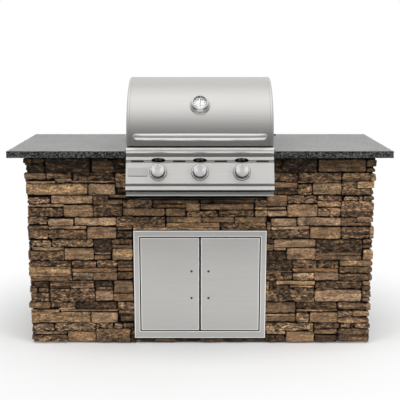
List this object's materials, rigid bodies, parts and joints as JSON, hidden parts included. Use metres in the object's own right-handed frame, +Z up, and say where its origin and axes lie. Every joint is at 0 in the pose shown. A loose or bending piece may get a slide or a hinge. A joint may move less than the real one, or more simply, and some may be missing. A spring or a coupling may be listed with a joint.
{
  "type": "outdoor kitchen island",
  "caption": "Stone-clad outdoor kitchen island with a granite top, double steel doors and a drop-in gas grill whose lid lifts.",
  "frame": {"origin": "on the ground, under the middle of the whole object's box", "axes": "+X to the right as seen from the doors, +Y towards the back, +Z up"},
  "size_m": [1.702, 0.7877, 1.225],
  "materials": {
    "granite": "polished top, chiselled edge",
    "ledge_stone": "split face",
    "cement_board": "rough",
    "galvanised_steel": "zinc coated",
    "stainless_steel": "brushed",
    "dark_steel": "porcelain coated",
    "cast_iron": "matt",
    "brass": "satin",
    "black_plastic": "matt",
    "needle_paint": "gloss",
    "lens_glass": "clear"
  },
  "bodies": {
    "island": {"countertop": "granite", "front_veneer_left": "ledge_stone", "front_veneer_right": "ledge_stone", "front_veneer_middle": "ledge_stone", "front_veneer_sill": "ledge_stone", "left_veneer": "ledge_stone", "right_veneer": "ledge_stone", "rear_veneer": "ledge_stone", "front_board": "cement_board", "rear_board": "cement_board", "left_board": "cement_board", "right_board": "cement_board", "cabinet_floor": "cement_board", "grill_shelf": "cement_board", "bottom_frame": "galvanised_steel", "top_frame": "galvanised_steel", "front_left_post": "galvanised_steel", "rear_left_post": "galvanised_steel", "front_right_post": "galvanised_steel", "rear_right_post": "galvanised_steel", "left_door_post": "galvanised_steel", "right_door_post": "galvanised_steel", "door_frame": "stainless_steel", "left_hinge_rod": "stainless_steel", "right_hinge_rod": "stainless_steel", "control_panel": "stainless_steel", "name_plate": "stainless_steel", "left_knob_bezel": "stainless_steel", "middle_knob_bezel": "stainless_steel", "right_knob_bezel": "stainless_steel", "left_flame_tamer": "stainless_steel", "middle_flame_tamer": "stainless_steel", "right_flame_tamer": "stainless_steel", "warming_rack": "stainless_steel", "lid_hinge_rod": "stainless_steel", "firebox": "dark_steel", "left_cooking_grate": "cast_iron", "right_cooking_grate": "cast_iron", "left_burner": "cast_iron", "middle_burner": "cast_iron", "right_burner": "cast_iron", "gas_manifold": "brass", "door_catch": "black_plastic"},
    "lid": {"lid_shell": "stainless_steel", "lid_end_left": "stainless_steel", "lid_end_right": "stainless_steel", "lid_handle": "stainless_steel", "thermometer_case": "stainless_steel", "thermometer_lens": "lens_glass"},
    "needle": {"thermometer_needle": "needle_paint"},
    "left_door": {"left_door": "stainless_steel"},
    "right_door": {"right_door": "stainless_steel"},
    "drip_tray": {"drip_tray": "stainless_steel"},
    "left_valve": {"left_spindle": "brass"},
    "left_knob": {"left_knob": "stainless_steel"},
    "middle_valve": {"middle_spindle": "brass"},
    "middle_knob": {"middle_knob": "stainless_steel"},
    "right_valve": {"right_spindle": "brass"},
    "right_knob": {"right_knob": "stainless_steel"}
  },
  "joints": [
    {"name": "lid_hinge", "type": "hinge", "parent": "island", "child": "lid", "pos_m": [0, 0.21156, 0.975], "axis": [-1, 0, 0], "range_deg": [0, 80]},
    {"name": "left_door_hinge", "type": "hinge", "parent": "island", "child": "left_door", "pos_m": [-0.2688, -0.19344, 0.286], "axis": [0, 0, -1], "range_deg": [0, 100]},
    {"name": "right_door_hinge", "type": "hinge", "parent": "island", "child": "right_door", "pos_m": [0.2688, -0.19344, 0.286], "axis": [0, 0, 1], "range_deg": [0, 100]},
    {"name": "drip_tray_slide", "type": "slide", "parent": "island", "child": "drip_tray", "axis": [0, -1, 0], "range_m": [0, 0.36]},
    {"name": "left_knob_turn", "type": "hinge", "parent": "island", "child": "left_valve", "pos_m": [-0.18, -0.35179, 0.837], "axis": [0, -0.9114, 0.4115], "range_deg": [0, 225]},
    {"name": "left_knob_push", "type": "slide", "parent": "left_valve", "child": "left_knob", "axis": [0, 0.9114, -0.4115], "range_m": [0, 0.003], "stiffness_N_per_m": 1500},
    {"name": "middle_knob_turn", "type": "hinge", "parent": "island", "child": "middle_valve", "pos_m": [0, -0.35179, 0.837], "axis": [0, -0.9114, 0.4115], "range_deg": [0, 225]},
    {"name": "middle_knob_push", "type": "slide", "parent": "middle_valve", "child": "middle_knob", "axis": [0, 0.9114, -0.4115], "range_m": [0, 0.003], "stiffness_N_per_m": 1500},
    {"name": "right_knob_turn", "type": "hinge", "parent": "island", "child": "right_valve", "pos_m": [0.18, -0.35179, 0.837], "axis": [0, -0.9114, 0.4115], "range_deg": [0, 225]},
    {"name": "right_knob_push", "type": "slide", "parent": "right_valve", "child": "right_knob", "axis": [0, 0.9114, -0.4115], "range_m": [0, 0.003], "stiffness_N_per_m": 1500},
    {"name": "needle_turn", "type": "hinge", "parent": "lid", "child": "needle", "pos_m": [0, -0.25032, 1.114], "axis": [0, -0.8167, 0.5771], "range_deg": [-120, 150]}
  ]
}
